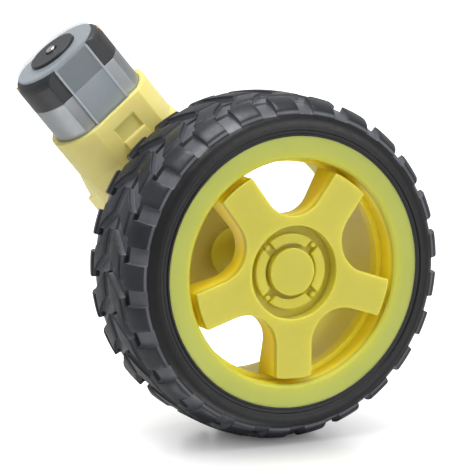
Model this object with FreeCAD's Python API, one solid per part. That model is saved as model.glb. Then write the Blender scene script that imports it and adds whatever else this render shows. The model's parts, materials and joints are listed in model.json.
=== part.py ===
"""Drive unit of a two wheel robot car: a plastic gear motor with one spoked wheel on its output shaft.

Gearbox frame (used while modelling): X runs from the output axis to the motor's tail, Y is the
wheel axis and points away from the wheel, Z completes it, and y = 0 is the parting plane of the
housing. Wheel frame: the wheel axis is Y, y = 0 is the tyre's middle plane and +Z is up.
Row frame: origin midway between the two chassis screw holes, on the face away from the wheel.
All sizes are millimetres.
"""
import FreeCAD, Part
import math
import os

Vector = FreeCAD.Vector
X_AXIS = Vector(1, 0, 0)
Y_AXIS = Vector(0, 1, 0)
Z_AXIS = Vector(0, 0, 1)
ORIGIN = Vector(0, 0, 0)

# ---- Driving dimensions -------------------------------------------------------------------
MOTOR_TILT = 50.1             # motor axis above the floor, degrees

HOUSING_THICKNESS = 18.8      # along the wheel axis
HOUSING_WIDTH = 22.4
HOUSING_FRONT = 11.2          # output axis to the front end wall
FRONT_CHAMFER = 3.3           # on the two front corners
SLEEVE_END = 37.6             # output axis to the mouth of the motor sleeve
SLEEVE_DIAMETER = 22.3
WALL = 1.6
TAB_REACH = 5.0               # front tab, beyond the front end wall
TAB_THICKNESS = 3.0
TAB_RADIUS = 2.7
HOLE_RADIUS = 1.5             # both chassis screw holes and the tab hole
SCREW_HOLE_X = 20.5           # output axis to the line of the chassis screw holes
SCREW_HOLE_PITCH = 17.5

SHAFT_LENGTH = 36.8           # output shaft, end to end
SHAFT_RADIUS = 2.7
SHAFT_ACROSS_FLATS = 3.7
SHAFT_PILOT_RADIUS = 0.8
SHAFT_PILOT_DEPTH = 5.0
REDUCTION_X = 10.0            # output axis to the reduction gear's pin
CROWN_X = 18.0                # output axis to the crown gear's pin
PIN_RADIUS = 0.75
RUNNING_FIT = 0.05            # radial clearance of turning parts

MODULE = 0.4
MOTOR_MODULE = 0.38
PRESSURE_ANGLE = math.radians(20)
FLANK_RELIEF = 0.045          # taken off each tooth flank
CROWN_RELIEF = 0.05           # further width given to each side of a crown slot

MOTOR_FACE = 25.6             # output axis to the motor's front face
CAN_END = 45.15
CAP_END = 51.3
CAP_BOSS_END = 52.4
CAN_RADIUS = 10.05
CAN_HALF_FLATS = 7.55
CAN_WALL = 0.8
CAP_BOSS_RADIUS = 4.95
MOTOR_SHAFT_RADIUS = 1.0
MOTOR_SHAFT_START = 20.1
MOTOR_SHAFT_END = 52.9

STRAP_THICKNESS = 0.5
STRAP_HALF_WIDTH = 4.16
STRAP_PLATE_RADIUS = 8.8
STRAP_PLAY = 0.05             # strap to motor
STRAP_END = 26.8
HOOK_START = 28.8
HOOK_END = 31.7
HOOK_HALF_WIDTH = 2.65
HOOK_RISE = 0.9               # hook above the housing, on the wheel side only
HOOK_SLOPE = 0.3
RECESS_END = 35.0             # far end of the recess round the hook
RECESS_SKIN = 0.5             # wall left between that recess and the strap

TYRE_RADIUS = 33.0
TYRE_HALF_WIDTH = 13.25
TYRE_WALL = 3.0
WHEEL_GAP = 2.65              # wheel's back to the housing
RIM_RADIUS = 25.7
BARREL_RADIUS = 24.0
BARREL_INNER_RADIUS = 21.4    # just behind the spokes
BARREL_MOUTH_RADIUS = 22.9    # inside at the wheel's back
FLANGE_WIDTH = 0.7
FLANGE_SLOPE = 2.2            # width of flange and slope together
LIP_INNER_RADIUS = 21.4       # wall that goes in behind the front lip
LEDGE_RADIUS = 20.45          # ring that carries the spokes
LEDGE_Y = -7.5
RIM_FRONT_Y = -13.2
FACE_Y = -12.9                # front of the spokes
SPOKE_COUNT = 5
SPOKE_WIDTH = 7.2
FIRST_SPOKE_ANGLE = 270.0     # degrees about the wheel axis, straight down
SPOKE_TIP_RADIUS = 20.2
SPOKE_BACK_Y = -4.6           # at the ledge
SPOKE_ROOT_BACK_Y = -7.7      # at the hub
SPOKE_ROOT_RADIUS = 10.5
WINDOW_ROUNDING = 6.5
HUB_RECESS_RADIUS = 8.9
HUB_FLOOR_Y = -10.0
HUB_PAD_RING = (5.3, 7.2)     # inner and outer radius of the four raised pads
HUB_PAD_Y = -11.3
HUB_PAD_GAP = 1.9
HUB_DOT_RADIUS = 0.45
HUB_DOT_PLACE = 6.7
HUB_DISC_RADIUS = 4.5
HUB_DISC_Y = -12.1
HUB_TUBE_RADIUS = 5.2
TREAD_COUNT = 25
TREAD_DEPTH = 1.2
GROOVE_WIDTH = 1.4
GROOVE_OFFSET = 6.9
NOTCH_WIDTH = 2.8
LUG_END = 1.05                # shoulder lugs stop this far from the tyre's side
BEAD_CONTACT = 4.0            # width of each bead on the barrel

HALF_THICKNESS = HOUSING_THICKNESS / 2
HALF_WIDTH = HOUSING_WIDTH / 2
INNER_HALF = HALF_THICKNESS - WALL
PIN_SOCKET = 1.0
BIG = 60.0


# ---- Basic shapes -------------------------------------------------------------------------
def along_y(radius, low, high, x=0.0, z=0.0):
    """Cylinder on an axis parallel to the wheel axis."""
    return Part.makeCylinder(radius, high - low, Vector(x, low, z), Y_AXIS)


def along_x(radius, start, end):
    """Cylinder on the motor axis."""
    return Part.makeCylinder(radius, end - start, Vector(start, 0, 0), X_AXIS)


def block(x_range, y_range, z_range):
    """Box between two corners, each axis as a (low, high) pair."""
    corner = Vector(x_range[0], y_range[0], z_range[0])
    sizes = [pair[1] - pair[0] for pair in (x_range, y_range, z_range)]
    return Part.makeBox(sizes[0], sizes[1], sizes[2], corner)


def both(half):
    """A range that is centred on zero."""
    return (-half, half)


def prism(points, direction):
    """Closed outline of points, extruded."""
    outline = Part.makePolygon(points + [points[0]])
    return Part.Face(outline).extrude(direction)


def spun(points, axis):
    """Closed outline turned a whole turn about an axis through the origin."""
    outline = Part.makePolygon(points + [points[0]])
    return Part.Face(outline).revolve(ORIGIN, axis, 360)


def wheel_ring(profile):
    """Ring about the wheel axis from (radius, y) points."""
    return spun([Vector(radius, y, 0) for radius, y in profile], Y_AXIS)


def motor_section(radius, half_flats, start, end):
    """Round bar on the motor axis with two flats that face along Y."""
    slab = block((start, end), both(half_flats), both(BIG))
    return along_x(radius, start, end).common(slab)


def turned(shape, degrees, axis=Y_AXIS, centre=ORIGIN):
    """Copy of a shape turned about an axis."""
    result = shape.copy()
    result.rotate(centre, axis, degrees)
    return result


def moved(shape, x=0.0, y=0.0, z=0.0):
    """Copy of a shape shifted."""
    result = shape.copy()
    result.translate(Vector(x, y, z))
    return result


# ---- Gears --------------------------------------------------------------------------------
def involute(angle):
    """Involute function."""
    return math.tan(angle) - angle


def polar(radius, angle):
    """Point in the XY plane."""
    return Vector(radius * math.cos(angle), radius * math.sin(angle), 0)


def arc(first, middle, last):
    """Circular edge through three points."""
    return Part.Arc(first, middle, last).toShape()


def spur_gear(teeth, module, shift, tip_radius, length):
    """Involute gear along +Z from z = 0, with a tooth centred on +X."""
    pitch_radius = module * teeth / 2
    base_radius = pitch_radius * math.cos(PRESSURE_ANGLE)
    root_radius = module * (teeth / 2 - 1.25 + shift)
    thickness = (math.pi / 2 + 2 * shift * math.tan(PRESSURE_ANGLE)) / teeth
    half_tooth = thickness - FLANK_RELIEF / pitch_radius + involute(PRESSURE_ANGLE)
    pitch = 2 * math.pi / teeth

    def half_angle(radius):
        return half_tooth - involute(math.acos(base_radius / radius))

    start_radius = max(base_radius, root_radius) + 1e-6
    middle_radius = (start_radius + tip_radius) / 2
    foot = half_angle(start_radius)
    edges = []
    for index in range(teeth):
        centre = index * pitch
        left = [polar(r, centre - half_angle(r)) for r in (start_radius, middle_radius, tip_radius)]
        right = [polar(r, centre + half_angle(r)) for r in (tip_radius, middle_radius, start_radius)]
        root_left = polar(root_radius, centre - foot)
        root_right = polar(root_radius, centre + foot)
        root_next = polar(root_radius, centre + pitch - foot)
        if (left[0] - root_left).Length > 1e-4:
            edges.append(Part.LineSegment(root_left, left[0]).toShape())
        edges.append(arc(*left))
        edges.append(arc(left[2], polar(tip_radius, centre), right[0]))
        edges.append(arc(*right))
        if (right[2] - root_right).Length > 1e-4:
            edges.append(Part.LineSegment(right[2], root_right).toShape())
        edges.append(arc(root_right, polar(root_radius, centre + pitch / 2), root_next))
    return Part.Face(Part.Wire(edges)).extrude(Vector(0, 0, length))


def idler_gear_blank(teeth, shift, tip_radius, low, high):
    """Spur gear on the Y axis between two heights, with a tooth centred on +X."""
    gear = spur_gear(teeth, MODULE, shift, tip_radius, high - low)
    return moved(turned(gear, -90, X_AXIS), y=low)


# Each pair: pinion teeth and shift, wheel teeth, and the two tip radii.
OUTPUT_PINION_TEETH = 10
OUTPUT_GEAR_TEETH = 40
OUTPUT_SHIFT = 0.4
OUTPUT_PINION_TIP = 2.48
OUTPUT_GEAR_TIP = 8.2
FIRST_PINION_TEETH = 8
REDUCTION_GEAR_TEETH = 32
FIRST_SHIFT = 0.53
FIRST_PINION_TIP = 2.1
REDUCTION_GEAR_TIP = 6.52
CROWN_TEETH = 30
MOTOR_PINION_TEETH = 10
OUTPUT_GEAR_LAYER = (0.5, 4.0)
OUTPUT_PINION_LAYER = (0.3, 4.2)
REDUCTION_GEAR_LAYER = (-7.3, -5.3)
FIRST_PINION_LAYER = (-7.5, -4.0)
CROWN_WEB_LAYER = (-4.0, -2.6)
CROWN_RING = (4.9, 5.9)       # inner and outer radius of the crown teeth
HUB_END = INNER_HALF - 0.1


def output_shaft():
    """Through shaft with a flat on each side of both ends, moulded in one with the output gear."""
    half = SHAFT_LENGTH / 2
    shaft = along_y(SHAFT_RADIUS, -half, half)
    for low, high in ((-half, -HALF_THICKNESS - 0.3), (HALF_THICKNESS + 0.3, half)):
        for side in (-1, 1):
            flat = sorted((side * SHAFT_ACROSS_FLATS / 2, side * BIG))
            shaft = shaft.cut(block(both(BIG), (low, high), flat))
    for side in (-1, 1):
        pilot = sorted((side * half, side * (half - SHAFT_PILOT_DEPTH)))
        shaft = shaft.cut(along_y(SHAFT_PILOT_RADIUS, pilot[0], pilot[1]))
    gear = idler_gear_blank(OUTPUT_GEAR_TEETH, -OUTPUT_SHIFT, OUTPUT_GEAR_TIP, *OUTPUT_GEAR_LAYER)
    dish = along_y(6.4, 2.9, BIG).cut(along_y(3.6, 0, BIG))
    hub = along_y(3.2, -HUB_END, HUB_END)
    return gear.cut(dish).fuse([shaft, hub]).removeSplitter()


def reduction_gear():
    """Second idler: a large gear driven by the crown gear's pinion, and the output pinion."""
    pinion_turn = 180.0 / OUTPUT_PINION_TEETH
    gear = idler_gear_blank(
        REDUCTION_GEAR_TEETH, -FIRST_SHIFT, REDUCTION_GEAR_TIP, *REDUCTION_GEAR_LAYER)
    pinion = idler_gear_blank(
        OUTPUT_PINION_TEETH, OUTPUT_SHIFT, OUTPUT_PINION_TIP, *OUTPUT_PINION_LAYER)
    neck = along_y(1.6, -6.0, 1.0)
    hub = along_y(1.4, -HUB_END, HUB_END)
    solid = gear.fuse([turned(pinion, pinion_turn), neck, hub]).removeSplitter()
    solid = solid.cut(along_y(PIN_RADIUS + RUNNING_FIT, -BIG, BIG))
    return moved(solid, x=REDUCTION_X)


def crown_slot():
    """Straight slot between two crown teeth, along +X, with sloping sides."""
    pitch_y = -MOTOR_MODULE * MOTOR_PINION_TEETH / 2
    half_at_pitch = math.pi * MOTOR_MODULE / 4 + FLANK_RELIEF + CROWN_RELIEF
    points = []
    for side, depth in ((-1, 1.6), (-1, -0.475), (1, -0.475), (1, 1.6)):
        half = half_at_pitch + depth * math.tan(PRESSURE_ANGLE)
        points.append(Vector(CROWN_RING[0] - 0.6, pitch_y + depth, side * half))
    return prism(points, Vector(3.0, 0, 0))


def crown_gear():
    """First idler: face teeth turned by the motor pinion, and an 8 tooth pinion below them."""
    tip_y = -MOTOR_MODULE * MOTOR_PINION_TEETH / 2 + 0.34
    ring = along_y(CROWN_RING[1], CROWN_WEB_LAYER[1], tip_y)
    ring = ring.cut(along_y(CROWN_RING[0], CROWN_WEB_LAYER[1], tip_y))
    slot = crown_slot()
    pitch = 360.0 / CROWN_TEETH
    ring = ring.cut([turned(slot, index * pitch) for index in range(CROWN_TEETH)])
    web = along_y(CROWN_RING[1], *CROWN_WEB_LAYER)
    pinion = idler_gear_blank(
        FIRST_PINION_TEETH, FIRST_SHIFT, FIRST_PINION_TIP, *FIRST_PINION_LAYER)
    pinion = turned(pinion, 180.0 / FIRST_PINION_TEETH)
    hub = along_y(1.3, -HUB_END, HUB_END)
    solid = web.fuse([ring, pinion, hub]).removeSplitter()
    solid = solid.cut(along_y(PIN_RADIUS + RUNNING_FIT, -BIG, BIG))
    return moved(solid, x=CROWN_X)


def gear_pin(x):
    """Steel pin that an idler turns on, seated in both housing halves."""
    reach = INNER_HALF + PIN_SOCKET
    return along_y(PIN_RADIUS, -reach, reach, x)


# ---- Housing ------------------------------------------------------------------------------
CORNER_SCREW_X = -7.6
CORNER_SCREW_Z = 8.2
SCREW_SHANK_RADIUS = 1.1
SCREW_HEAD_RADIUS = 2.1
SCREW_HEAD_DEPTH = 1.5
SCREW_TIP_Y = -5.0
SCREW_PILLAR_RADIUS = 2.8
CHASSIS_PILLAR_RADIUS = 2.6
CROSS_RECESS_DEPTH = 0.9
CROSS_RECESS = (1.2, 0.3)     # half length and half width of each slot
END_WALL = 1.5
PARTITION_X = 24.15
SHOULDER = ((21.4, 16.0), (22.4, 12.7))   # where the box narrows: distance and radius
SHOULDER_END = 29.0
SHOULDER_WALL = 1.2
SLEEVE_FLAT_GAP = 0.07
STRAP_GAP = 0.1
STRAP_POCKET = CAN_HALF_FLATS + STRAP_THICKNESS + STRAP_GAP


def pillars():
    """Solid pillars round the chassis holes and the corner screws."""
    shapes = []
    for side in (-1, 1):
        z = side * SCREW_HOLE_PITCH / 2
        shapes.append(along_y(CHASSIS_PILLAR_RADIUS, -HALF_THICKNESS, HALF_THICKNESS,
                              SCREW_HOLE_X, z))
        z = side * CORNER_SCREW_Z
        shapes.append(along_y(SCREW_PILLAR_RADIUS, -HALF_THICKNESS, HALF_THICKNESS,
                              CORNER_SCREW_X, z))
    return shapes


def shoulder_envelope(inset):
    """Round body that trims the box's corners into the sleeve, made smaller all round by inset."""
    sleeve_radius = SLEEVE_DIAMETER / 2
    outline = [(-BIG, SHOULDER[0][1]), *SHOULDER, (SHOULDER_END, sleeve_radius),
               (SLEEVE_END, sleeve_radius)]
    profile = [Vector(x, 0, radius - inset) for x, radius in outline]
    return spun([Vector(-BIG, 0, 0)] + profile + [Vector(SLEEVE_END, 0, 0)], X_AXIS)


def front_corner(side):
    """Triangular prism that is cut off a front corner of the box."""
    x = -HOUSING_FRONT
    z = side * HALF_WIDTH
    points = [Vector(x, -BIG, z), Vector(x + FRONT_CHAMFER, -BIG, z),
              Vector(x, -BIG, z - side * FRONT_CHAMFER)]
    return prism(points, Vector(0, 2 * BIG, 0))


def housing_outside():
    """Box that narrows into the round sleeve with two flats, and the front tab."""
    slab = block((-HOUSING_FRONT, SLEEVE_END), both(HALF_THICKNESS), both(HALF_WIDTH))
    tab_centre = -HOUSING_FRONT - TAB_REACH + TAB_RADIUS
    tab = along_y(TAB_RADIUS, -TAB_THICKNESS, 0, tab_centre)
    tab = tab.fuse(block((tab_centre, -HOUSING_FRONT + 1), (-TAB_THICKNESS, 0), both(TAB_RADIUS)))
    tab = tab.cut(along_y(HOLE_RADIUS, -BIG, BIG, tab_centre))
    corners = [front_corner(-1), front_corner(1)]
    return slab.common(shoulder_envelope(0)).cut(corners).fuse(tab)


def strap_hook(side, rise):
    """Block through the sleeve's flat that the strap's hole snaps over."""
    root = side * (CAN_HALF_FLATS + SLEEVE_FLAT_GAP)
    low = side * (HALF_THICKNESS + rise - HOOK_SLOPE)
    high = side * (HALF_THICKNESS + rise)
    outline = [(HOOK_START, root), (HOOK_END, root), (HOOK_END, low), (HOOK_START, high)]
    points = [Vector(x, y, -HOOK_HALF_WIDTH) for x, y in outline]
    return prism(points, Vector(0, 0, 2 * HOOK_HALF_WIDTH))


def hook_recess(side):
    """Blind recess in the sleeve's flat that the hook stands in."""
    floor = side * (STRAP_POCKET + RECESS_SKIN)
    return block((HOOK_START, RECESS_END), sorted((floor, side * BIG)), both(HOOK_HALF_WIDTH))


def housing():
    """Whole gearbox housing before it is parted into two halves."""
    cavity = block((-HOUSING_FRONT + END_WALL, PARTITION_X), both(INNER_HALF),
                   both(HALF_WIDTH - END_WALL))
    cavity = cavity.common(shoulder_envelope(SHOULDER_WALL)).cut(pillars())
    motor_bore = motor_section(CAN_RADIUS + SLEEVE_FLAT_GAP, CAN_HALF_FLATS + SLEEVE_FLAT_GAP,
                               MOTOR_FACE, SLEEVE_END)
    pocket = block((STRAP_END - STRAP_GAP, SLEEVE_END), both(STRAP_POCKET),
                   both(STRAP_HALF_WIDTH + STRAP_GAP))
    recesses = [hook_recess(-1), hook_recess(1)]
    boss_hole = along_x(CAN_BOSS_RADIUS + STRAP_GAP / 2, PARTITION_X - 1, MOTOR_FACE)
    shaft_hole = along_y(SHAFT_RADIUS + RUNNING_FIT, -BIG, BIG)
    pins = [gear_pin(REDUCTION_X), gear_pin(CROWN_X)]
    holes = [along_y(HOLE_RADIUS, -BIG, BIG, SCREW_HOLE_X, side * SCREW_HOLE_PITCH / 2)
             for side in (-1, 1)]
    solid = housing_outside().cut([cavity, motor_bore, pocket, boss_hole, shaft_hole] + recesses)
    solid = solid.cut(pins + holes + housing_screws().Solids)
    return solid.fuse([strap_hook(-1, HOOK_RISE), strap_hook(1, 0)]).removeSplitter()


def housing_screws():
    """Two self-tapping screws at the front corners, heads in the cover."""
    screws = []
    for side in (-1, 1):
        z = side * CORNER_SCREW_Z
        head_y = HALF_THICKNESS - SCREW_HEAD_DEPTH
        head = along_y(SCREW_HEAD_RADIUS, head_y, HALF_THICKNESS, CORNER_SCREW_X, z)
        shank = along_y(SCREW_SHANK_RADIUS, SCREW_TIP_Y, head_y + 0.1, CORNER_SCREW_X, z)
        screws.append(head.fuse(shank).removeSplitter())
    return Part.makeCompound(screws)


def crossed(screws):
    """Screws with a cross recess in each head."""
    cutters = []
    depth = (HALF_THICKNESS - CROSS_RECESS_DEPTH, HALF_THICKNESS + 0.1)
    for side in (-1, 1):
        z = side * CORNER_SCREW_Z
        for long_x, long_z in (CROSS_RECESS, CROSS_RECESS[::-1]):
            cutters.append(block((CORNER_SCREW_X - long_x, CORNER_SCREW_X + long_x), depth,
                                 (z - long_z, z + long_z)))
    return screws.cut(cutters)


def housing_half(whole, wheel_side):
    """One of the two mouldings, parted at y = 0."""
    span = (-BIG, 0) if wheel_side else (0, BIG)
    return whole.common(block(both(BIG), span, both(BIG)))


def motor_strap():
    """Clear strap over the motor's tail, hooked into the sleeve on both sides."""
    inner = CAN_HALF_FLATS + STRAP_PLAY
    outer = inner + STRAP_THICKNESS
    plate_span = (CAP_END + STRAP_PLAY, CAP_END + STRAP_PLAY + STRAP_THICKNESS)
    pieces = [block(plate_span, both(outer), both(STRAP_HALF_WIDTH))]
    for side in (-1, 1):
        across = sorted((side * inner, side * outer))
        pieces.append(block((STRAP_END, plate_span[1]), across, both(STRAP_HALF_WIDTH)))
    plate = motor_section(STRAP_PLATE_RADIUS, outer, *plate_span)
    eye = along_x(CAP_BOSS_RADIUS + STRAP_GAP, CAP_END, BIG)
    hole = block((HOOK_START - STRAP_GAP, HOOK_END + STRAP_GAP), both(BIG),
                 both(HOOK_HALF_WIDTH + STRAP_GAP))
    return plate.fuse(pieces).removeSplitter().cut([eye, hole])


# ---- Motor --------------------------------------------------------------------------------
CAN_BOSS_RADIUS = 3.05
CAN_BOSS_LENGTH = 1.5
CAP_SPIGOT = 1.6              # length of the cap inside the can
CAP_ROUNDING = ((1.8, 0), (1.1, 0.15), (0.5, 0.5), (0, 1.1))   # from the tail, and inwards
CAP_FLOOR = 49.4              # inner face of the cap's end wall
CAP_HOLLOW = (8.0, 5.6)       # radius and half thickness
CAP_HOLE_RADIUS = 1.3
BUSH_RADIUS = 2.0
BUSH_LENGTH = 1.9
MOTOR_FIT = 0.03
SHAFT_CHAMFER = 0.15
PINION_RANGE = (20.7, 23.9)
ROTOR_RANGE = (30.0, 40.0)
ARMATURE_RADIUS = 6.4
SHOE_INNER_RADIUS = 5.4
SHOE_GAP = 1.2
CORE_HUB_RADIUS = 2.3
POLE_HALF_WIDTH = 1.0
COIL_HALF_WIDTH = 2.1
COIL_SPAN = (2.6, 4.9)        # distance of a coil from the rotor's axis
COIL_OVERHANG = 1.0
MAGNET_RANGE = (28.0, 42.0)
MAGNET_INNER_RADIUS = 6.9
MAGNET_HALF_WIDTH = 4.9
COMMUTATOR_RANGE = (45.4, 48.6)
COMMUTATOR_RADIUS = 2.2
COMMUTATOR_SLIT = (0.15, 1.7)  # half width, and how near the axis it comes
COLLAR_RADIUS = 1.8
WASHER_RADIUS = 1.9
WASHER_RANGES = ((27.0, 27.4), (48.8, 49.2))
BRUSH_RANGE = (46.2, 47.8)
BRUSH_GAP = 0.05
BRUSH_THICKNESS = 0.3
BRUSH_REACH = (-1.5, 7.6)     # across the rotor's axis
TERMINAL_HALF_WIDTH = 1.0
TERMINAL_SEAT = 9.1           # floor of the solder pocket, from the motor axis
TERMINAL_THICKNESS = 0.4
TERMINAL_END = 50.6


def motor_can():
    """Drawn steel can with two flats, open at the tail, with a bearing boss at the front."""
    outside = motor_section(CAN_RADIUS, CAN_HALF_FLATS, MOTOR_FACE, CAN_END)
    inside = motor_section(CAN_RADIUS - CAN_WALL, CAN_HALF_FLATS - CAN_WALL,
                           MOTOR_FACE + CAN_WALL, CAN_END)
    boss = along_x(CAN_BOSS_RADIUS, MOTOR_FACE - CAN_BOSS_LENGTH, MOTOR_FACE + CAN_WALL)
    return outside.cut(inside).fuse(boss).cut(along_x(BUSH_RADIUS, 0, CAN_END)).removeSplitter()


def cap_rounding():
    """Round body with the cap's rounded tail edge."""
    outline = [(0, 0), (0, CAN_RADIUS)]
    outline += [(CAP_END - back, CAN_RADIUS - drop) for back, drop in CAP_ROUNDING]
    return spun([Vector(x, 0, radius) for x, radius in outline + [(CAP_END, 0)]], X_AXIS)


def motor_end_cap():
    """Moulded tail cap with the rear bearing boss."""
    outside = motor_section(CAN_RADIUS, CAN_HALF_FLATS, CAN_END, CAP_END).common(cap_rounding())
    spigot = motor_section(CAN_RADIUS - CAN_WALL, CAN_HALF_FLATS - CAN_WALL,
                           CAN_END - CAP_SPIGOT, CAN_END)
    boss = along_x(CAP_BOSS_RADIUS, CAP_END, CAP_BOSS_END)
    hollow = motor_section(*CAP_HOLLOW, CAN_END - 2 * CAP_SPIGOT, CAP_FLOOR)
    shaft_hole = along_x(CAP_HOLE_RADIUS, CAP_FLOOR, BIG)
    bush_seat = along_x(BUSH_RADIUS, CAP_FLOOR, CAP_FLOOR + BUSH_LENGTH)
    cap = outside.fuse([spigot, boss]).removeSplitter()
    for side in (-1, 1):
        cap = cap.cut([terminal(side), solder_pocket(side)])
    return cap.cut([hollow, shaft_hole, bush_seat])


def bush(start):
    """Sintered bearing that the motor shaft turns in."""
    end = start + BUSH_LENGTH
    return along_x(BUSH_RADIUS, start, end).cut(along_x(MOTOR_SHAFT_RADIUS + MOTOR_FIT, start, end))


def magnet(side):
    """Curved magnet against the can's round wall."""
    ring = along_x(CAN_RADIUS - CAN_WALL, *MAGNET_RANGE)
    ring = ring.cut(along_x(MAGNET_INNER_RADIUS, *MAGNET_RANGE))
    return ring.common(block(MAGNET_RANGE, both(MAGNET_HALF_WIDTH), sorted((0, side * BIG))))


def brush(side):
    """Leaf spring brush from its terminal to the commutator."""
    near = COMMUTATOR_RADIUS + BRUSH_GAP
    across = sorted((side * near, side * (near + BRUSH_THICKNESS)))
    return block(BRUSH_RANGE, across, sorted(side * reach for reach in BRUSH_REACH))


def terminal_width(side):
    """Where a terminal lies along the wheel axis."""
    middle = side * (COMMUTATOR_RADIUS + BRUSH_GAP + BRUSH_THICKNESS / 2)
    return (middle - TERMINAL_HALF_WIDTH, middle + TERMINAL_HALF_WIDTH)


def terminal(side):
    """Solder tab that passes through the cap's round side and lies in its pocket."""
    root = sorted((side * BRUSH_REACH[1], side * TERMINAL_SEAT))
    top = sorted((side * TERMINAL_SEAT, side * (TERMINAL_SEAT + TERMINAL_THICKNESS)))
    through = block(BRUSH_RANGE, terminal_width(side), root)
    tab = block((BRUSH_RANGE[0], TERMINAL_END), terminal_width(side), top)
    return through.fuse(tab).removeSplitter()


def solder_pocket(side):
    """Pocket in the cap's round side, open outwards, where the wires are soldered."""
    return block((BRUSH_RANGE[0], TERMINAL_END), terminal_width(side),
                 sorted((side * TERMINAL_SEAT, side * BIG)))


def motor_shaft():
    """Steel rotor shaft."""
    shaft = along_x(MOTOR_SHAFT_RADIUS, MOTOR_SHAFT_START, MOTOR_SHAFT_END)
    return shaft.makeChamfer(SHAFT_CHAMFER, [shaft.Edges[0], shaft.Edges[2]])


def motor_pinion():
    """Ten tooth pinion pressed on the shaft, with a tooth pointing at the crown gear."""
    tip_radius = MOTOR_MODULE * (MOTOR_PINION_TEETH / 2 + 1)
    start, end = PINION_RANGE
    gear = spur_gear(MOTOR_PINION_TEETH, MOTOR_MODULE, 0.0, tip_radius, end - start)
    gear = turned(gear, 90.0, Z_AXIS)
    gear = moved(turned(gear, 90.0, Y_AXIS), x=start)
    return gear.cut(along_x(MOTOR_SHAFT_RADIUS, 0, BIG))


def armature_core():
    """Three pole lamination stack."""
    start, end = ROTOR_RANGE
    shoes = along_x(ARMATURE_RADIUS, start, end).cut(along_x(SHOE_INNER_RADIUS, start, end))
    gap = block((start, end), both(SHOE_GAP / 2), (0, BIG))
    shoes = shoes.cut([turned(gap, 60 + 120 * index, X_AXIS) for index in range(3)])
    core = shoes.fuse([along_x(CORE_HUB_RADIUS, start, end)] + poles())
    return core.removeSplitter().cut(along_x(MOTOR_SHAFT_RADIUS, start, end))


def poles():
    """Arms that carry the pole shoes and pass through the coils."""
    pole = block(ROTOR_RANGE, both(POLE_HALF_WIDTH), (CORE_HUB_RADIUS - 0.5, SHOE_INNER_RADIUS + 0.2))
    return [turned(pole, 120 * index, X_AXIS) for index in range(3)]


def armature_windings():
    """One coil round each pole."""
    start, end = ROTOR_RANGE
    coil = block((start - COIL_OVERHANG, end + COIL_OVERHANG), both(COIL_HALF_WIDTH), COIL_SPAN)
    coil = coil.cut(block((start, end), both(POLE_HALF_WIDTH), (0, BIG)))
    return Part.makeCompound([turned(coil, 120 * index, X_AXIS) for index in range(3)])


def commutator():
    """Three segment copper commutator and its collar on the shaft."""
    start, end = COMMUTATOR_RANGE
    drum = along_x(COMMUTATOR_RADIUS, start, end)
    half_width, nearest = COMMUTATOR_SLIT
    slit = block((start + 0.5, end + 1), both(half_width), (nearest, BIG))
    drum = drum.cut([turned(slit, 120 * index, X_AXIS) for index in range(3)])
    collar = along_x(COLLAR_RADIUS, ROTOR_RANGE[1] + 0.1, start)
    return drum.fuse(collar).removeSplitter().cut(along_x(MOTOR_SHAFT_RADIUS, 0, BIG))


def thrust_washers():
    """Two nylon washers that take the rotor's end play."""
    washers = [along_x(WASHER_RADIUS, *span).cut(along_x(MOTOR_SHAFT_RADIUS, *span))
               for span in WASHER_RANGES]
    return Part.makeCompound(washers)


# ---- Wheel --------------------------------------------------------------------------------
def wheel_window():
    """Opening between two spokes, centred on +X, rounded at the hub end."""
    half_gap = math.pi / SPOKE_COUNT
    offset = SPOKE_WIDTH / 2
    arc_centre = (offset + WINDOW_ROUNDING) / math.sin(half_gap)
    tangent_x = arc_centre - WINDOW_ROUNDING * math.sin(half_gap)
    tangent_z = WINDOW_ROUNDING * math.cos(half_gap)
    corner_angle = half_gap - math.asin(offset / LIP_INNER_RADIUS)
    corner_x = LIP_INNER_RADIUS * math.cos(corner_angle)
    corner_z = LIP_INNER_RADIUS * math.sin(corner_angle)
    y = FACE_Y - 1
    low_tangent = Vector(tangent_x, y, -tangent_z)
    high_tangent = Vector(tangent_x, y, tangent_z)
    low_corner = Vector(corner_x, y, -corner_z)
    high_corner = Vector(corner_x, y, corner_z)
    edges = [
        arc(high_tangent, Vector(arc_centre - WINDOW_ROUNDING, y, 0), low_tangent),
        Part.LineSegment(low_tangent, low_corner).toShape(),
        arc(low_corner, Vector(LIP_INNER_RADIUS, y, 0), high_corner),
        Part.LineSegment(high_corner, high_tangent).toShape(),
    ]
    opening = Part.Face(Part.Wire(edges)).extrude(Vector(0, SPOKE_BACK_Y - y + 1, 0))
    ledge = wheel_ring([(LEDGE_RADIUS, LEDGE_Y), (BIG, LEDGE_Y), (BIG, 0), (LEDGE_RADIUS, 0)])
    return opening.cut(ledge)


def rim_profile():
    """Section of the wheel before its windows and hub recess are cut, as (radius, y)."""
    back_y = TYRE_HALF_WIDTH
    front_y = RIM_FRONT_Y
    return [
        (0, FACE_Y), (SPOKE_TIP_RADIUS, FACE_Y), (SPOKE_TIP_RADIUS, LEDGE_Y),
        (LIP_INNER_RADIUS, LEDGE_Y), (LIP_INNER_RADIUS, FACE_Y + 0.4),
        (LIP_INNER_RADIUS + 0.5, FACE_Y), (RIM_RADIUS, front_y),
        (RIM_RADIUS, front_y + FLANGE_WIDTH), (BARREL_RADIUS, front_y + FLANGE_SLOPE),
        (BARREL_RADIUS, back_y - FLANGE_SLOPE), (RIM_RADIUS, back_y - FLANGE_WIDTH),
        (RIM_RADIUS, back_y), (BARREL_MOUTH_RADIUS, back_y),
        (BARREL_INNER_RADIUS, SPOKE_BACK_Y), (LEDGE_RADIUS, SPOKE_BACK_Y),
        (SPOKE_ROOT_RADIUS, SPOKE_ROOT_BACK_Y), (0, SPOKE_ROOT_BACK_Y),
    ]


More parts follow.
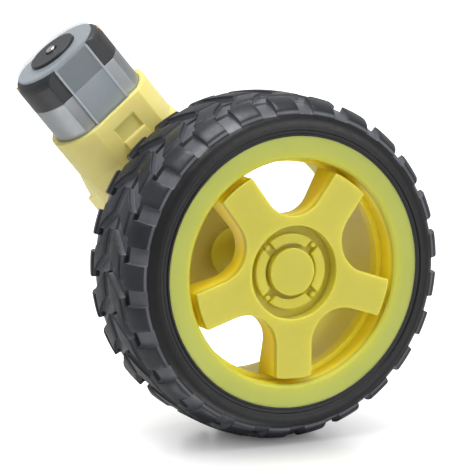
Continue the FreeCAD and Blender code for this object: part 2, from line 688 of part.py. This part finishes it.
def hub_recess():
    """What is cut out of the hub's front, round the four raised pads, four dots and the disc."""
    recess = along_y(HUB_RECESS_RADIUS, FACE_Y - 1, HUB_FLOOR_Y)
    disc = along_y(HUB_DISC_RADIUS, HUB_DISC_Y, HUB_FLOOR_Y)
    inner, outer = HUB_PAD_RING
    pads = along_y(outer, HUB_PAD_Y, HUB_FLOOR_Y).cut(along_y(inner, HUB_PAD_Y, HUB_FLOOR_Y))
    gap = block(both(BIG), (HUB_PAD_Y - 1, HUB_FLOOR_Y), both(HUB_PAD_GAP / 2))
    pads = pads.cut([turned(gap, 45), turned(gap, 135)])
    dot = along_y(HUB_DOT_RADIUS, HUB_PAD_Y, HUB_FLOOR_Y, HUB_DOT_PLACE)
    dots = [turned(dot, 45 + 90 * index) for index in range(4)]
    return recess.cut([disc, pads] + dots)


def wheel_rim():
    """Spoked centre, barrel and both flanges in one moulding."""
    window = wheel_window()
    pitch = 360.0 / SPOKE_COUNT
    first = FIRST_SPOKE_ANGLE + pitch / 2
    openings = [turned(window, -(first + index * pitch)) for index in range(SPOKE_COUNT)]
    tube = along_y(HUB_TUBE_RADIUS, SPOKE_ROOT_BACK_Y - 0.5, TYRE_HALF_WIDTH)
    body = wheel_ring(rim_profile()).cut(openings + [hub_recess()])
    return body.fuse(tube).removeSplitter()


def tyre_profile():
    """Outer half of the tyre's section, from the crown to the bead, as (radius, distance)."""
    half = TYRE_HALF_WIDTH
    return [(TYRE_RADIUS, 0.0), (TYRE_RADIUS - 0.05, half - 9.0), (TYRE_RADIUS - 0.35, half - 5.5),
            (TYRE_RADIUS - 1.1, half - 3.2), (TYRE_RADIUS - 2.5, half - LUG_END),
            (TYRE_RADIUS - 3.3, half - LUG_END), (TYRE_RADIUS - 4.2, half - 0.3),
            (TYRE_RADIUS - 5.5, half)]


def bead_profile():
    """Inner half of the tyre's section, from its side to the hollow, as (radius, distance)."""
    half = TYRE_HALF_WIDTH
    front = -RIM_FRONT_Y
    hollow = TYRE_RADIUS - TYRE_WALL
    return [(RIM_RADIUS, half), (RIM_RADIUS, front - FLANGE_WIDTH),
            (BARREL_RADIUS, front - FLANGE_SLOPE), (BARREL_RADIUS, front - BEAD_CONTACT),
            (hollow - 3, half - 2.6), (hollow, half - 6)]


def tyre():
    """Hollow rubber tyre, with three grooves round it and notches across both shoulders."""
    half = TYRE_HALF_WIDTH
    front = [(radius, -y) for radius, y in reversed(tyre_profile())]
    front_inside = [(radius, -y) for radius, y in reversed(bead_profile())]
    body = wheel_ring(front + tyre_profile()[1:] + bead_profile() + front_inside)
    floor = TYRE_RADIUS - TREAD_DEPTH
    grooves = [along_y(TYRE_RADIUS + 1, y - GROOVE_WIDTH / 2, y + GROOVE_WIDTH / 2).cut(
        along_y(floor, -half, half)) for y in (-GROOVE_OFFSET, 0, GROOVE_OFFSET)]
    notches = []
    for index in range(TREAD_COUNT):
        for side in (-1, 1):
            span = sorted((side * (GROOVE_OFFSET + 0.5), side * half))
            notch = block((floor - 0.9, TYRE_RADIUS + 1), span, both(NOTCH_WIDTH / 2))
            notches.append(turned(notch, index * 360.0 / TREAD_COUNT))
    return body.cut(grooves + notches)


# ---- Assembly -----------------------------------------------------------------------------
def place_gearbox(shape):
    """Gearbox frame to row frame."""
    result = moved(shape, x=-SCREW_HOLE_X, y=-HALF_THICKNESS)
    result.rotate(ORIGIN, Y_AXIS, 180 + MOTOR_TILT)
    return result


def place_wheel(shape):
    """Wheel frame to row frame."""
    tilt = math.radians(MOTOR_TILT)
    wheel_y = -HOUSING_THICKNESS - WHEEL_GAP - TYRE_HALF_WIDTH
    return moved(shape, SCREW_HOLE_X * math.cos(tilt), wheel_y, -SCREW_HOLE_X * math.sin(tilt))


def assembly():
    """Every node by name, in the row frame."""
    whole = housing()
    gearbox_nodes = {
        "gearbox_base": housing_half(whole, True),
        "gearbox_cover": housing_half(whole, False),
        "housing_screws": crossed(housing_screws()),
        "output_shaft": output_shaft(),
        "reduction_gear": reduction_gear(),
        "crown_gear": crown_gear(),
        "reduction_pin": gear_pin(REDUCTION_X),
        "crown_pin": gear_pin(CROWN_X),
        "motor_can": motor_can(),
        "motor_end_cap": motor_end_cap(),
        "motor_strap": motor_strap(),
        "front_bush": bush(MOTOR_FACE - CAN_BOSS_LENGTH),
        "rear_bush": bush(CAP_FLOOR),
        "motor_shaft": motor_shaft(),
        "motor_pinion": motor_pinion(),
        "armature_core": armature_core(),
        "armature_windings": armature_windings(),
        "commutator": commutator(),
        "thrust_washers": thrust_washers(),
    }
    for side, name in ((-1, "upper"), (1, "lower")):
        gearbox_nodes["magnet_" + name] = magnet(side)
        gearbox_nodes["brush_" + name] = brush(side)
        gearbox_nodes["terminal_" + name] = terminal(side)
    nodes = {name: place_gearbox(shape) for name, shape in gearbox_nodes.items()}
    nodes["wheel_rim"] = place_wheel(wheel_rim()).cut(nodes["output_shaft"])
    nodes["tyre"] = place_wheel(tyre())
    return nodes


def main():
    """Write one STEP file for each node."""
    os.makedirs("parts", exist_ok=True)
    for name, shape in assembly().items():
        if not shape.isValid():
            raise ValueError(name + " is not a valid shape")
        shape.exportStep("parts/" + name + ".step")
        box = shape.BoundBox
        print(name, len(shape.Solids), round(shape.Volume, 1), [round(value, 2) for value in (
            box.XMin, box.XMax, box.YMin, box.YMax, box.ZMin, box.ZMax)])


main()
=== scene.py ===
"""Looks of the geared drive wheel: a tyre with its tread, moulded yellow plastic, clear strap, motor."""
import json
import math

import bpy
import numpy as np
from mathutils import Matrix, Vector


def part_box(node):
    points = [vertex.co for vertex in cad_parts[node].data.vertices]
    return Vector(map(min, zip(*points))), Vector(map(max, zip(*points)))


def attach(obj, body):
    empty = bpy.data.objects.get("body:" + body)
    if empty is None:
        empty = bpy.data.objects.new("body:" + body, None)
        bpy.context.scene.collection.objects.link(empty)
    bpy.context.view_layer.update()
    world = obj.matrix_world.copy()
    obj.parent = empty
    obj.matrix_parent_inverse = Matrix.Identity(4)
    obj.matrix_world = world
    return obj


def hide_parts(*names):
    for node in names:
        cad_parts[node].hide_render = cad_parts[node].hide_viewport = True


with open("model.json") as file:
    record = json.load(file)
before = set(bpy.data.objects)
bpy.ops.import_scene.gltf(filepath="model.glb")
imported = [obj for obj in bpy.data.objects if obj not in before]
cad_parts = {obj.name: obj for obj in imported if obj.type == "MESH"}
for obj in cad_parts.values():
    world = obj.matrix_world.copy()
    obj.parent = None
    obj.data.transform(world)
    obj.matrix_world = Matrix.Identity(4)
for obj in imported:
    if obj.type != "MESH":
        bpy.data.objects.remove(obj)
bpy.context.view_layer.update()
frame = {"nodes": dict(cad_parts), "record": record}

MM = 0.001
WORLD_LIGHT = 0.62              # strength of the white surroundings as a light
TOP_LIGHT = ((-0.12, -0.05, 0.6), 0.45, 6.0)    # place from the wheel, size, watts
FRONT_LIGHT = ((0.3, -0.55, 0.25), 0.4, 2.0)
FLOOR_REACH = 3.0               # half width of the table top
FLOOR_SHADE_FADE = (0.006, 0.042)     # distances over which the reflection and painted shade at the wheel's foot fade to white
CAMERA_AZIMUTH = -25.17
CAMERA_ELEVATION = 8.5
CAMERA_DISTANCE = 0.45
CAMERA_SHIFT = (-0.00588, 0.0055)   # to the right and up
CAMERA_LENS = 180.07
SENSOR_WIDTH = 36.0

# Places where a moulding changes its colour, clearness or painted light, in metres
LIP_START = 0.0214              # radius of the wheel's lip
LIP_FULL_SHADE = 0.0236              # radius where the lip's painted shade, darker and greener, is full
HUB_RADIUS = 0.0102             # inside this the painted glow is weaker
PAINTED_GLOW_START = 0.0013             # depth behind the tyre's side where the painted glow of deep gold begins
PAINTED_GLOW_END = 0.0022
STRAP_HIGHLIGHT_EDGE = 0.00386            # strap's middle to its edge, where a highlight is painted
STRAP_PLATE = (0.0508, 0.0512)  # from the output axis along the motor: the plate there is painted milkier as painted light

nodes = frame["nodes"]


# ---- Places taken from the frame ----------------------------------------------------------
def middle(node):
    """Centre of a CAD node's box."""
    low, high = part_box(node)
    return (Vector(low) + Vector(high)) / 2


def joint(name):
    """A joint of the record by name."""
    return next(item for item in frame["record"]["behaviour"]["joints"] if item["name"] == name)


WHEEL = middle("tyre")
MOTOR_AXIS = Vector(joint("rotor_spin")["axis"]).normalized()
WHEEL_AXIS = Vector(joint("wheel_spin")["axis"]).normalized()
WIDTH_AXIS = MOTOR_AXIS.cross(WHEEL_AXIS)
TO_TAIL = MOTOR_AXIS if MOTOR_AXIS.z > 0 else -MOTOR_AXIS
OUTPUT = Vector(joint("wheel_spin")["pos_m"])
tyre_low, tyre_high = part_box("tyre")
TYRE_RADIUS = (tyre_high[2] - tyre_low[2]) / 2
TYRE_HALF = (tyre_high[1] - tyre_low[1]) / 2
rim_low, rim_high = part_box("wheel_rim")
RIM_RADIUS = (rim_high[2] - rim_low[2]) / 2
FLOOR_Z = tyre_low[2]


# ---- Shader helpers -----------------------------------------------------------------------
class Shader:
    """Small wrapper that builds one node material."""

    def __init__(self, name):
        self.material = bpy.data.materials.new(name)
        self.material.use_nodes = True
        self.tree = self.material.node_tree
        self.tree.nodes.clear()
        self.output = self.add("ShaderNodeOutputMaterial")

    def add(self, kind, inputs=None, **settings):
        """New node with its settings and input values or links."""
        node = self.tree.nodes.new(kind)
        for key, value in settings.items():
            setattr(node, key, value)
        for key, value in (inputs or {}).items():
            socket = node.inputs[key]
            if isinstance(value, bpy.types.NodeSocket):
                self.tree.links.new(value, socket)
            else:
                socket.default_value = value
        return node

    def coordinates(self):
        """Object coordinates, which are metres in the row frame."""
        return self.add("ShaderNodeTexCoord").outputs["Object"]

    def noise(self, scale, detail=3.0, roughness=0.55):
        """Noise value between 0 and 1; scale is features per metre."""
        node = self.add("ShaderNodeTexNoise", {
            "Vector": self.coordinates(), "Scale": scale, "Detail": detail,
            "Roughness": roughness})
        return node.outputs["Fac"]

    def ramp(self, value, low, high, to_low=0.0, to_high=1.0):
        """Linear map of a value."""
        node = self.add("ShaderNodeMapRange", {
            "Value": value, "From Min": low, "From Max": high,
            "To Min": to_low, "To Max": to_high})
        return node.outputs["Result"]

    def blend(self, factor, first, second):
        """Colour mix."""
        node = self.add("ShaderNodeMix", data_type="RGBA")
        for index, value in ((0, factor), (6, first), (7, second)):
            socket = node.inputs[index]
            if isinstance(value, bpy.types.NodeSocket):
                self.tree.links.new(value, socket)
            else:
                socket.default_value = value
        return node.outputs[2]

    def rounded(self, radius):
        """Normal that rounds sharp edges by a radius."""
        return self.add("ShaderNodeBevel", {"Radius": radius}, samples=6).outputs["Normal"]

    def bump(self, height, distance, strength=1.0, normal=None):
        """Normal from a height value."""
        inputs = {"Height": height, "Distance": distance, "Strength": strength}
        if normal is not None:
            inputs["Normal"] = normal
        return self.add("ShaderNodeBump", inputs).outputs["Normal"]

    def finish(self, surface):
        """Connect the surface shader and return the material."""
        self.tree.links.new(surface, self.output.inputs["Surface"])
        return self.material


def colour(red, green, blue):
    """sRGB values from 0 to 255 as a linear colour."""
    linear = []
    for value in (red, green, blue):
        value /= 255.0
        linear.append(value / 12.92 if value <= 0.04045 else ((value + 0.055) / 1.055) ** 2.4)
    return (*linear, 1.0)


def principled(shader, base, normal, roughness, **extra):
    """Principled surface; extra names use underscores for spaces."""
    inputs = {"Base Color": base, "Normal": normal, "Roughness": roughness}
    for key, value in extra.items():
        inputs[key.replace("_", " ")] = value
    return shader.add("ShaderNodeBsdfPrincipled", inputs).outputs["BSDF"]


# ---- Materials ----------------------------------------------------------------------------
def wheel_radius(shader):
    """Distance from the wheel's axis, metres."""
    flat = shader.add("ShaderNodeVectorMath", {
        0: shader.coordinates(), 1: (1.0, 0.0, 1.0)}, operation="MULTIPLY").outputs["Vector"]
    return shader.add("ShaderNodeVectorMath", {
        0: flat, 1: (WHEEL.x, 0.0, WHEEL.z)}, operation="DISTANCE").outputs["Value"]


def rim_plastic():
    """Yellow of the wheel, with painted shade making the rim's wide lip darker and greener, and a
    painted glow of deep gold behind its front face.
    """
    shader = Shader("rim_plastic")
    drift = shader.ramp(shader.noise(60.0), 0.3, 0.7)
    spokes = shader.blend(drift, colour(176, 169, 59), colour(182, 175, 67))
    # Painted shade: the lip is darker and greener than the spokes, and its gold-green inner band grades
    # into that shade
    lip = shader.blend(drift, colour(160, 165, 72), colour(166, 171, 79))
    radius = wheel_radius(shader)
    lip = shader.blend(shader.ramp(radius, LIP_START, LIP_FULL_SHADE), colour(172, 171, 58), lip)
    outside = shader.ramp(radius, LIP_START - 0.0003, LIP_START + 0.0001)
    base = shader.blend(outside, spokes, lip)
    place = shader.add("ShaderNodeSeparateXYZ", {"Vector": shader.coordinates()})
    front = WHEEL.y - TYRE_HALF
    glow_strength = shader.ramp(radius, HUB_RADIUS - 0.0004, HUB_RADIUS + 0.0004, 0.25, 1.0)
    painted_glow = shader.ramp(
        place.outputs["Y"], front + PAINTED_GLOW_START, front + PAINTED_GLOW_END, 0.0, glow_strength)
    # Painted glow: deep gold behind the front face stands in for light scattered inside the wheel
    base = shader.blend(painted_glow, base, colour(238, 218, 54))
    return yellow_body(shader, base, (0.62, 0.52, 0.1, 1.0), 0.0, 0.9, 0.004)


def housing_plastic():
    """Paler and clearer yellow of the gearbox."""
    shader = Shader("housing_plastic")
    drift = shader.ramp(shader.noise(60.0), 0.3, 0.7)
    base = shader.blend(drift, colour(236, 222, 140), colour(242, 230, 152))
    return yellow_body(shader, base, (0.86, 0.84, 0.5, 1.0), 0.3, 0.6, 0.002)


def yellow_body(shader, base, clear, see_through, inside, depth):
    """Translucent moulding: light scatters inside it, and thin walls show what is behind."""
    orange_peel = shader.noise(2200.0, 2.0)
    normal = shader.bump(orange_peel, 0.00001, 0.25, shader.rounded(0.00035))
    rough = shader.ramp(shader.noise(350.0), 0.3, 0.7, 0.3, 0.4)
    body = principled(
        shader, base, normal, rough, Subsurface_Weight=inside, Subsurface_Scale=depth,
        Subsurface_Radius=(1.0, 0.85, 0.12), Specular_IOR_Level=0.35)
    through = shader.add("ShaderNodeBsdfTransparent", {"Color": clear}).outputs["BSDF"]
    mix = shader.add("ShaderNodeMixShader", {0: see_through, 1: body, 2: through})
    return shader.finish(mix.outputs["Shader"])


def tyre_rubber():
    """Black rubber: dark smooth walls, paler lug tops, and channel floors painted lighter as painted
    light from above.
    """
    shader = Shader("tyre_rubber")
    height = shader.add("ShaderNodeAttribute", attribute_name="tread_height").outputs["Fac"]
    haze = shader.ramp(shader.noise(140.0, 5.0), 0.35, 0.7)
    wall = shader.blend(haze, colour(7, 7, 9), colour(13, 13, 16))
    # Painted light: channel floors are made lighter to stand in for light falling on them from above
    channel_painted_light = shader.blend(haze, colour(66, 68, 73), colour(82, 84, 89))
    top = shader.blend(haze, colour(22, 24, 29), colour(33, 35, 40))
    outside = shader.ramp(height, 0.1, 0.3)
    tops = shader.ramp(height, 0.75, 0.95)
    base = shader.blend(outside, wall, channel_painted_light)
    base = shader.blend(tops, base, top)
    grain = shader.noise(5200.0, 4.0)
    lumps = shader.noise(500.0, 3.0)
    normal = shader.bump(lumps, 0.00012, 0.4, shader.rounded(0.00015))
    normal = shader.bump(grain, 0.00003, 0.5, normal)
    rough = shader.ramp(shader.noise(800.0), 0.3, 0.7, 0.32, 0.46)
    return shader.finish(principled(shader, base, normal, rough, Specular_IOR_Level=0.3))


def can_steel():
    """Plated steel can with faint drawing marks along it."""
    shader = Shader("can_steel")
    stretched = shader.add("ShaderNodeMapping", {
        "Vector": shader.coordinates(), "Scale": (900.0, 3500.0, 900.0)})
    marks = shader.add("ShaderNodeTexNoise", {
        "Vector": stretched.outputs["Vector"], "Scale": 1.0, "Detail": 2.0}).outputs["Fac"]
    stain = shader.ramp(shader.noise(120.0, 4.0), 0.35, 0.75)
    base = shader.blend(stain, colour(150, 153, 155), colour(132, 135, 137))
    normal = shader.bump(marks, 0.000006, 0.4, shader.rounded(0.0003))
    rough = shader.ramp(shader.noise(300.0), 0.3, 0.7, 0.34, 0.46)
    return shader.finish(principled(shader, base, normal, rough, Metallic=0.75))


def black_nylon():
    """Satin black moulding of the tail cap."""
    shader = Shader("black_nylon")
    haze = shader.ramp(shader.noise(200.0, 4.0), 0.35, 0.7)
    base = shader.blend(haze, colour(20, 21, 24), colour(30, 32, 35))
    normal = shader.bump(shader.noise(3000.0), 0.00003, 0.4, shader.rounded(0.0003))
    return shader.finish(principled(shader, base, normal, 0.4, Specular_IOR_Level=0.5))


def clear_plastic():
    """Clear moulded strap: see-through arms with painted highlights along their edges, and a plate over
    the motor's tail made milkier as painted light.
    """
    shader = Shader("clear_strap")
    from_output = shader.add("ShaderNodeVectorMath", {
        0: shader.coordinates(), 1: tuple(OUTPUT)}, operation="SUBTRACT").outputs["Vector"]
    along = shader.add("ShaderNodeVectorMath", {
        0: from_output, 1: tuple(TO_TAIL)}, operation="DOT_PRODUCT").outputs["Value"]
    normal = shader.bump(shader.noise(900.0), 0.00003, 0.4, shader.rounded(0.0002))
    milk = principled(shader, colour(176, 184, 190), normal, 0.24, Specular_IOR_Level=0.6)
    through = shader.add("ShaderNodeBsdfTransparent", {"Color": (0.93, 0.95, 0.96, 1.0)})
    across = shader.add("ShaderNodeVectorMath", {
        0: from_output, 1: tuple(WIDTH_AXIS)}, operation="DOT_PRODUCT").outputs["Value"]
    sideways = shader.add("ShaderNodeMath", {0: across}, operation="ABSOLUTE").outputs["Value"]
    # Painted highlight: the arms are milkier along their edges
    edge_highlight = shader.ramp(sideways, STRAP_HIGHLIGHT_EDGE - 0.0001, STRAP_HIGHLIGHT_EDGE, 0.2, 0.6)
    # Painted light: the plate over the motor's tail is milkier, standing in for the light it catches
    milkiness_and_painted_light = shader.ramp(along, *STRAP_PLATE, edge_highlight, 0.36)
    mix = shader.add("ShaderNodeMixShader", {0: milkiness_and_painted_light, 1: through.outputs["BSDF"], 2: milk})
    return shader.finish(mix.outputs["Shader"])


def ground_metal(name, base, roughness):
    """Small bright metal parts."""
    shader = Shader(name)
    tone = shader.ramp(shader.noise(600.0), 0.3, 0.7)
    darker = tuple(value * 0.8 for value in base[:3]) + (1.0,)
    normal = shader.bump(shader.noise(4000.0), 0.00002, 0.3, shader.rounded(0.0001))
    return shader.finish(principled(
        shader, shader.blend(tone, base, darker), normal, roughness, Metallic=1.0))


def satin_plastic(name, base, roughness=0.4):
    """Opaque satin moulding, used for the gears and dark ceramic."""
    shader = Shader(name)
    tone = shader.ramp(shader.noise(300.0), 0.3, 0.7)
    darker = tuple(value * 0.88 for value in base[:3]) + (1.0,)
    normal = shader.bump(shader.noise(2500.0), 0.00002, 0.3, shader.rounded(0.00015))
    return shader.finish(principled(shader, shader.blend(tone, base, darker), normal, roughness))


def studio_floor():
    """Glossy table top with a glow, seen only by the camera, that fades it to white away from the
    wheel's foot, leaving painted shade near the foot.
    """
    shader = Shader("studio_floor")
    pale = (0.8, 0.8, 0.8, 1.0)
    diffuse = shader.add("ShaderNodeBsdfDiffuse", {"Color": pale})
    gloss = shader.add("ShaderNodeBsdfGlossy", {"Color": pale, "Roughness": 0.3})
    mix = shader.add("ShaderNodeMixShader", {
        0: 0.8, 1: diffuse.outputs["BSDF"], 2: gloss.outputs["BSDF"]})
    seen = shader.add("ShaderNodeLightPath").outputs["Is Camera Ray"]
    away = shader.add("ShaderNodeVectorMath", {
        0: shader.coordinates(), 1: (WHEEL.x, WHEEL.y, FLOOR_Z)}, operation="DISTANCE")
    # Painted shade: the glow is weak near the wheel's foot, so the floor is darker there
    glow_past_foot_shade = shader.ramp(away.outputs["Value"], *FLOOR_SHADE_FADE, 0.06, 0.95)
    strength = shader.ramp(seen, 0.0, 1.0, 0.0, glow_past_foot_shade)
    glow = shader.add("ShaderNodeEmission", {"Color": (1, 1, 1, 1), "Strength": strength})
    total = shader.add("ShaderNodeAddShader", {0: mix.outputs["Shader"], 1: glow.outputs["Emission"]})
    return shader.finish(total.outputs["Shader"])


# ---- Tyre ---------------------------------------------------------------------------------
TREAD_COUNT = 25
TREAD_PITCH = 360.0 / TREAD_COUNT
CHANNEL_CENTRE = 147.4          # direction of one channel at the tyre's middle, degrees
CHANNEL_HALF = 2.75             # half width of a channel, degrees
CHANNEL_LEAN = 1.45             # degrees of turn for each millimetre across the lug
LEAN_START = 1.2
LEAN_END = 7.8
GROOVES = (-6.9, 0.0, 6.9)      # grooves round the tyre, millimetres from the middle
GROOVE_HALF = 0.7
LUG_DEPTH = 1.25
SIDE_DROP = 5.5                 # crown to the widest point
SHOULDER_POWER = 4.2
FLOOR_POWER = 4.0
LUG_END = 12.2                  # where the lugs stop, millimetres from the middle
LUG_SEGMENTS = 7                # columns across one lug
ROW_COUNT = 44                  # regular rows from the middle to one side
GROOVE_CLEARANCE = 0.45         # regular rows keep this far from a groove's edge
LUG_END_CLEARANCE = 0.35
FLOOR_INSET = 0.05              # channel floor inside the tyre's side
WIDENING = 0.45                 # extra half width of a channel, degrees
WIDENING_PLACE = 4.2            # where the channel is widest, millimetres from the middle
WIDENING_SPREAD = 2.2
SIDE_GROOVE_OUTER = (27.1, 26.9, 26.75)   # radii down into the groove in the tyre's side
SIDE_GROOVE_INNER = (26.2, 26.05)          # radii out of it
SIDE_GROOVE_DEPTH = 0.3


def crown_radius(y, drop, half, power):
    """Radius of the rounded section at a distance from the middle, above the widest point."""
    across = np.clip(np.abs(y) / half, 0.0, 1.0)
    return drop * np.sqrt(np.clip(1.0 - across ** power, 0.0, 1.0))


def edge_levels(half_width):
    """Distances from a slot's centre with the height there, from floor 0 to top 1."""
    return [(half_width - 0.1, 0.0), (half_width, 0.1), (half_width + 0.12, 0.92),
            (half_width + 0.3, 1.0)]


LUG_END_LEVELS = [(-0.12, 0.0), (-0.02, 0.04), (0.08, 0.9), (0.26, 1.0)]


def tread_rows():
    """Rows across the tyre: distance from the middle and groove height."""
    half = TYRE_HALF / MM
    sweep = np.linspace(0.0, math.pi / 2, ROW_COUNT)[1:]
    regular = half * np.sin(sweep) ** (2 / SHOULDER_POWER)
    rows = []
    for y in np.concatenate([-regular[::-1], regular]):
        clear = all(abs(y - centre) > GROOVE_HALF + GROOVE_CLEARANCE for centre in GROOVES)
        if clear and abs(abs(y) - LUG_END) > LUG_END_CLEARANCE:
            rows.append((y, 1.0 if abs(y) < LUG_END else 0.0))
    for side in (-1, 1):
        for offset, level in LUG_END_LEVELS:
            rows.append((side * (LUG_END - offset), level))
    for centre in GROOVES:
        rows.append((centre, 0.0))
        for offset, level in edge_levels(GROOVE_HALF):
            rows += [(centre - offset, level), (centre + offset, level)]
    return sorted(rows)


def tread_columns():
    """Columns within one lug: side of the channel, distance from its edge, height."""
    degrees = math.degrees(1.0 / (TYRE_RADIUS / MM))
    columns = [(0.0, 0.0, 0.0)]
    for offset, level in edge_levels(0.0):
        columns.append((1.0, offset * degrees, level))
    inner = columns[-1][1]
    for step in np.linspace(0.0, 1.0, LUG_SEGMENTS)[1:-1]:
        columns.append((None, step, 1.0))
    for offset, level in reversed(edge_levels(0.0)):
        columns.append((-1.0, offset * degrees, level))
    return columns, inner


def column_angle(column, inner, half_width):
    """Turn of a column from its channel's centre, degrees."""
    side, value, _ = column
    if side is None:
        start = half_width + inner
        return start + value * (TREAD_PITCH - 2 * start)
    if side > 0:
        return half_width + value
    if side < 0:
        return TREAD_PITCH - half_width - value
    return 0.0


def tyre_section_below(half):
    """Sidewall and bead below the widest point, as (radius, y) on the +y side."""
    rim = RIM_RADIUS / MM
    groove = half - SIDE_GROOVE_DEPTH
    outer = SIDE_GROOVE_OUTER
    inner = SIDE_GROOVE_INNER
    return [(outer[0], half), (outer[1], half - 0.06), (outer[2], groove),
            (inner[0], groove), (inner[1], half - 0.05),
            (rim + 0.02, half - 0.05), (rim + 0.02, half - 0.72), (rim - 1.6, half - 2.4)]


def make_tyre():
    """Tyre with V-shaped channels between its lugs and three grooves round it."""
    half = TYRE_HALF / MM
    radius = TYRE_RADIUS / MM
    widest = radius - SIDE_DROP
    columns, inner = tread_columns()
    rings = []
    for y, groove in tread_rows():
        outer = widest + crown_radius(y, SIDE_DROP, half, SHOULDER_POWER)
        floor = widest + crown_radius(y, SIDE_DROP - LUG_DEPTH, half - FLOOR_INSET, FLOOR_POWER)
        floor = min(floor, outer)
        lean = CHANNEL_LEAN * (np.clip(abs(y), LEAN_START, LEAN_END) - LEAN_START)
        widen = WIDENING * math.exp(-((abs(y) - WIDENING_PLACE) / WIDENING_SPREAD) ** 2)
        ring = []
        for index in range(TREAD_COUNT):
            for column in columns:
                turn = column_angle(column, inner, CHANNEL_HALF + widen)
                angle = math.radians(CHANNEL_CENTRE + lean + index * TREAD_PITCH + turn)
                level = min(column[2], groove)
                tone = 0.0 if groove < 0.5 or abs(y) > LUG_END else 0.5 + 0.5 * column[2]
                ring.append((floor + (outer - floor) * level, y, angle, tone))
        rings.append(ring)
    angles = [point[2] for point in rings[-1]]
    for r, y in tyre_section_below(half):
        rings.append([(r, y, angle, 0.0) for angle in angles])
    first_angles = [point[2] for point in rings[0]]
    for r, y in reversed(tyre_section_below(half)):
        rings.append([(r, -y, angle, 0.0) for angle in first_angles])
    points = np.array(rings)
    x = points[..., 0] * np.cos(points[..., 2])
    z = points[..., 0] * np.sin(points[..., 2])
    places = np.stack([x, points[..., 1], z], axis=-1) * MM + np.array(WHEEL)
    count, width = places.shape[:2]
    faces = []
    for row in range(count):
        above = (row + 1) % count
        for column in range(width):
            right = (column + 1) % width
            faces.append((row * width + column, row * width + right,
                          above * width + right, above * width + column))
    piece = new_object("tyre_rubber_ring", places.reshape(-1, 3), faces)
    tones = piece.data.attributes.new("tread_height", "FLOAT", "POINT")
    tones.data.foreach_set("value", points[..., 3].astype(np.float32).ravel())
    smooth(piece, 32)
    return piece


def new_object(name, places, faces):
    """Mesh object from points and faces."""
    mesh = bpy.data.meshes.new(name)
    mesh.from_pydata([tuple(place) for place in places], [], faces)
    mesh.validate()
    mesh.update()
    piece = bpy.data.objects.new(name, mesh)
    bpy.context.scene.collection.objects.link(piece)
    return piece


def smooth(piece, degrees):
    """Smooth shading with edges sharper than an angle kept sharp."""
    mesh = piece.data
    mesh.polygons.foreach_set("use_smooth", [True] * len(mesh.polygons))
    mesh.set_sharp_from_angle(angle=math.radians(degrees))


# ---- Setting ------------------------------------------------------------------------------
def paint(material, *names):
    """Give CAD nodes a material."""
    for name in names:
        target = nodes[name]
        target.data.materials.clear()
        target.data.materials.append(material)


def make_floor():
    """Wide white table top under the tyre."""
    corners = [(-1, -1), (1, -1), (1, 1), (-1, 1)]
    places = [(WHEEL.x + x * FLOOR_REACH, WHEEL.y + y * FLOOR_REACH, FLOOR_Z) for x, y in corners]
    floor = new_object("table_top", places, [(0, 1, 2, 3)])
    floor.data.materials.append(studio_floor())


def area_light(name, offset, size, power):
    """Square soft light aimed at the wheel from a place beside it."""
    light = bpy.data.lights.new(name, "AREA")
    light.size = size
    light.energy = power
    lamp = bpy.data.objects.new(name, light)
    lamp.location = WHEEL + Vector(offset)
    lamp.rotation_euler = (WHEEL - lamp.location).to_track_quat("-Z", "Y").to_euler()
    bpy.context.scene.collection.objects.link(lamp)


def light_scene():
    """White surroundings, dimmer as light than as seen, with a soft light above and in front."""
    world = bpy.data.worlds.new("studio")
    world.use_nodes = True
    tree = world.node_tree
    background = tree.nodes["Background"]
    background.inputs["Color"].default_value = (1, 1, 1, 1)
    seen = tree.nodes.new("ShaderNodeLightPath").outputs["Is Camera Ray"]
    strength = tree.nodes.new("ShaderNodeMapRange")
    strength.inputs["To Min"].default_value = WORLD_LIGHT
    tree.links.new(seen, strength.inputs["Value"])
    tree.links.new(strength.outputs["Result"], background.inputs["Strength"])
    bpy.context.scene.world = world
    area_light("top_light", *TOP_LIGHT)
    area_light("front_light", *FRONT_LIGHT)
    view = bpy.context.scene.view_settings
    view.view_transform = "Standard"
    view.look = "None"


def make_camera():
    """Camera a little left of the wheel's axis and above it, far enough for a flat perspective."""
    azimuth = math.radians(CAMERA_AZIMUTH)
    elevation = math.radians(CAMERA_ELEVATION)
    back = Vector((math.sin(azimuth) * math.cos(elevation),
                   -math.cos(azimuth) * math.cos(elevation), math.sin(elevation)))
    right = Vector((math.cos(azimuth), math.sin(azimuth), 0.0))
    up = back.cross(right)
    data = bpy.data.cameras.new("camera")
    data.sensor_width = SENSOR_WIDTH
    data.lens = CAMERA_LENS
    camera = bpy.data.objects.new("camera", data)
    place = WHEEL + back * CAMERA_DISTANCE + right * CAMERA_SHIFT[0] + up * CAMERA_SHIFT[1]
    turn = Matrix((right, up, back)).transposed().to_4x4()
    camera.matrix_world = Matrix.Translation(place) @ turn
    bpy.context.scene.collection.objects.link(camera)
    bpy.context.scene.camera = camera


make_camera()
light_scene()
make_floor()

steel = ground_metal("bright_steel", colour(200, 200, 202), 0.25)
bronze = ground_metal("bronze", colour(170, 130, 84), 0.4)
copper = ground_metal("copper_wire", colour(200, 120, 74), 0.35)
brass = ground_metal("brass_sheet", colour(208, 178, 104), 0.3)
white_plastic = satin_plastic("gear_acetal", colour(232, 230, 222))

paint(rim_plastic(), "wheel_rim")
paint(housing_plastic(), "gearbox_base", "gearbox_cover")
paint(can_steel(), "motor_can")
paint(black_nylon(), "motor_end_cap")
paint(clear_plastic(), "motor_strap")
paint(steel, "reduction_pin", "crown_pin", "motor_shaft", "housing_screws", "armature_core")
paint(bronze, "front_bush", "rear_bush")
paint(copper, "armature_windings", "commutator")
paint(brass, "brush_upper", "brush_lower", "terminal_upper", "terminal_lower")
paint(white_plastic, "output_shaft", "reduction_gear", "crown_gear", "motor_pinion",
      "thrust_washers")
paint(satin_plastic("ferrite", colour(60, 60, 62), 0.6), "magnet_upper", "magnet_lower")

tyre = make_tyre()
tyre.data.materials.append(tyre_rubber())
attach(tyre, "wheel")
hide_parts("tyre")
